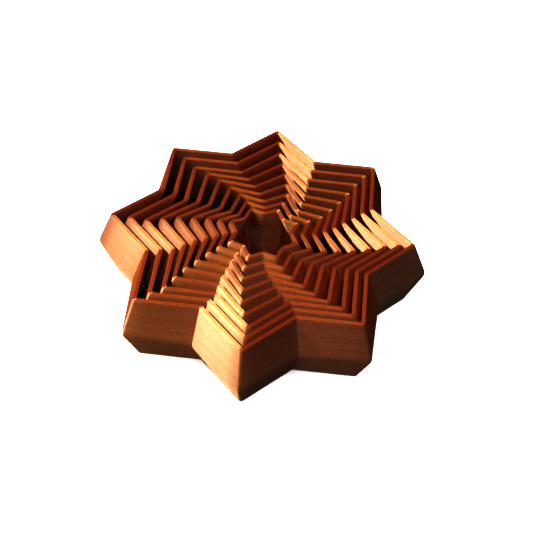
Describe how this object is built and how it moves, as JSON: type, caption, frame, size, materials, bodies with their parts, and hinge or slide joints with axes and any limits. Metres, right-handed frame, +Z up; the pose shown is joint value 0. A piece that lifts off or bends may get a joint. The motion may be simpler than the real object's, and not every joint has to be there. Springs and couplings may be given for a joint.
{
  "type": "nested star puzzle",
  "caption": "Nested star puzzle: thin-walled star rings with bulged walls, one inside the other, each free to slide up and down but not to fall out.",
  "frame": {"origin": "middle of the outer ring's foot, on the surface that the rings stand on", "axes": "+Z up, along the rings' sliding direction; +Y and +X through tips of the outer ring"},
  "size_m": [0.084, 0.084, 0.02],
  "materials": {
    "silk_plastic": "copper-brown silk print, satin sheen over fine level layer lines"
  },
  "bodies": {
    "ring_1": {"star_ring_1": "silk_plastic"},
    "ring_2": {"star_ring_2": "silk_plastic"},
    "ring_3": {"star_ring_3": "silk_plastic"},
    "ring_4": {"star_ring_4": "silk_plastic"},
    "ring_5": {"star_ring_5": "silk_plastic"},
    "ring_6": {"star_ring_6": "silk_plastic"},
    "ring_7": {"star_ring_7": "silk_plastic"},
    "ring_8": {"star_ring_8": "silk_plastic"},
    "ring_9": {"star_ring_9": "silk_plastic"}
  },
  "joints": [
    {"name": "ring_2_slide", "type": "slide", "parent": "ring_1", "child": "ring_2", "axis": [0, 0, 1], "range_m": [-0.0022, 0.0022]},
    {"name": "ring_3_slide", "type": "slide", "parent": "ring_2", "child": "ring_3", "axis": [0, 0, 1], "range_m": [-0.0019, 0.0019]},
    {"name": "ring_4_slide", "type": "slide", "parent": "ring_3", "child": "ring_4", "axis": [0, 0, 1], "range_m": [-0.00165, 0.00165]},
    {"name": "ring_5_slide", "type": "slide", "parent": "ring_4", "child": "ring_5", "axis": [0, 0, 1], "range_m": [-0.00165, 0.00165]},
    {"name": "ring_6_slide", "type": "slide", "parent": "ring_5", "child": "ring_6", "axis": [0, 0, 1], "range_m": [-0.0016, 0.0016]},
    {"name": "ring_7_slide", "type": "slide", "parent": "ring_6", "child": "ring_7", "axis": [0, 0, 1], "range_m": [-0.00185, 0.00185]},
    {"name": "ring_8_slide", "type": "slide", "parent": "ring_7", "child": "ring_8", "axis": [0, 0, 1], "range_m": [-0.00165, 0.00165]},
    {"name": "ring_9_slide", "type": "slide", "parent": "ring_8", "child": "ring_9", "axis": [0, 0, 1], "range_m": [-0.0016, 0.0016]}
  ]
}
